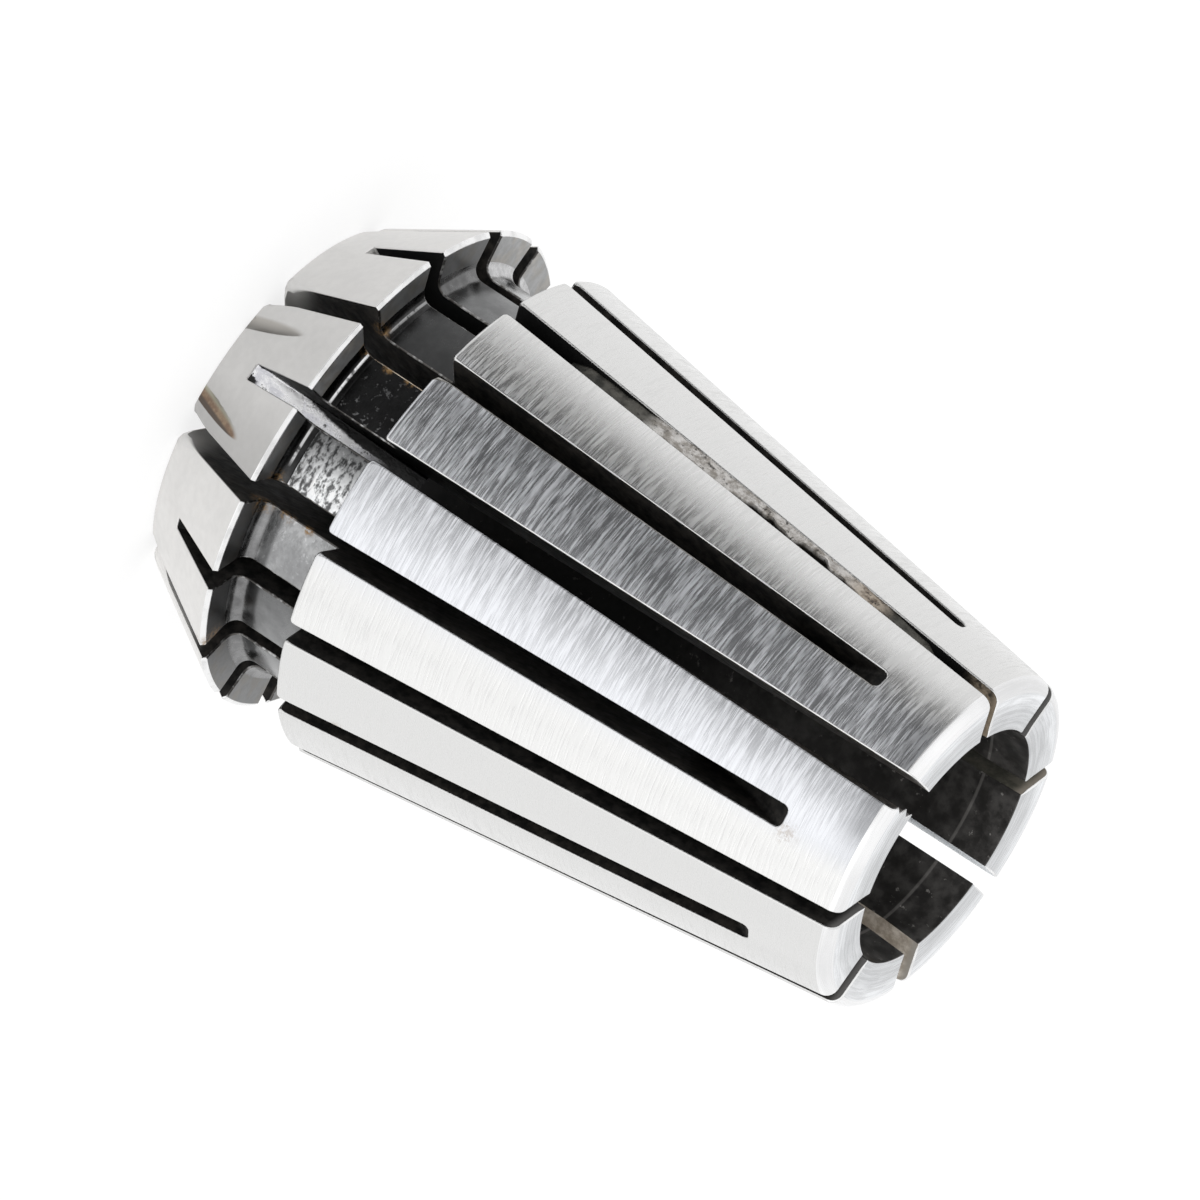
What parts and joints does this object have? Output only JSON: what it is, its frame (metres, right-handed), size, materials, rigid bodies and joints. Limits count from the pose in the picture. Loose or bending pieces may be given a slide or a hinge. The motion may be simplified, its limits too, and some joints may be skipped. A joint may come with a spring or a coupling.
{
  "type": "er collet",
  "caption": "Slotted spring collet for a tool holder: cone-faced head, extraction groove and long tapered body, sawn from both ends in turn round a plain bore.",
  "frame": {"origin": "centre of the bore on the front face of the head, on which the collet stands", "axes": "+Z along the bore axis towards the small end; -Y through a slot that is open at the small end"},
  "size_m": [0.021, 0.021, 0.032],
  "materials": {
    "ground_steel": "ground spring steel, worn"
  },
  "bodies": {
    "root": {"collet": "ground_steel"}
  },
  "joints": []
}
